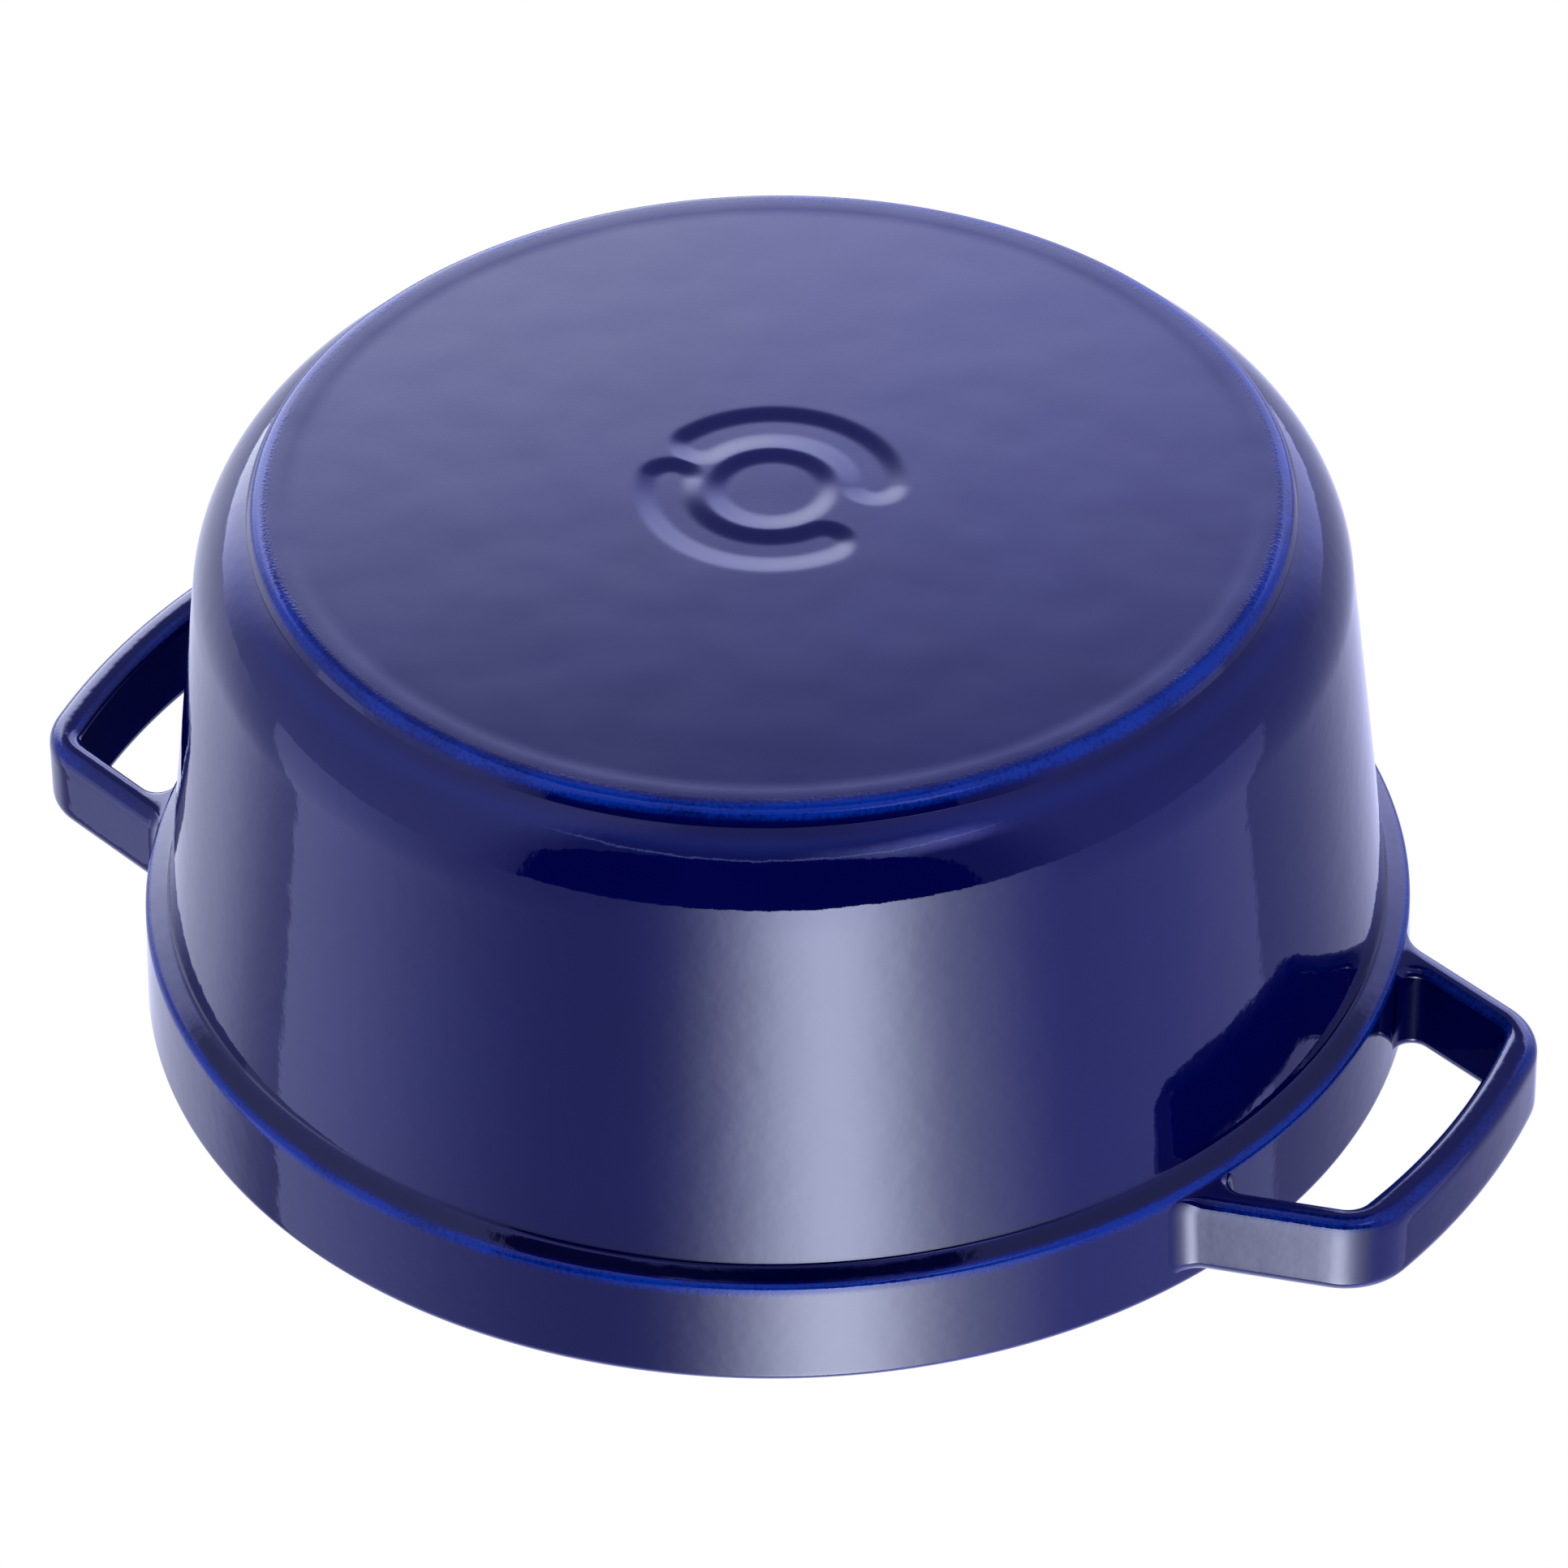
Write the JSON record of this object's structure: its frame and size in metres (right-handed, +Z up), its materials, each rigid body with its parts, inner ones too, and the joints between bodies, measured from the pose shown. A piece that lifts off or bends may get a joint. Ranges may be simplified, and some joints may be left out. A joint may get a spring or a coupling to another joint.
{
  "type": "cast iron dutch oven",
  "caption": "Round enamelled cast iron dutch oven with integral loop handles, a foot ring and a seated cast lid with a metal knob.",
  "frame": {"origin": "centre of the foot ring, on the surface the pot stands on", "axes": "+Z up along the pot's axis, +X along the line through both handles"},
  "size_m": [0.3154, 0.2524, 0.1556],
  "materials": {
    "pot_enamel": "gloss deep blue enamel outside, matt black inside",
    "lid_enamel": "gloss deep blue enamel above, matt black below",
    "knob_metal": "polished nickel",
    "screw_steel": "plain steel",
    "washer_steel": "plain steel"
  },
  "bodies": {
    "pot": {"pot": "pot_enamel"},
    "lid": {"lid": "lid_enamel", "knob": "knob_metal", "knob_screw": "screw_steel", "screw_washer": "washer_steel"}
  },
  "joints": [
    {"name": "lid_lift", "type": "slide", "parent": "pot", "child": "lid", "axis": [0, 0, 1], "range_m": [0, 0.12]}
  ]
}
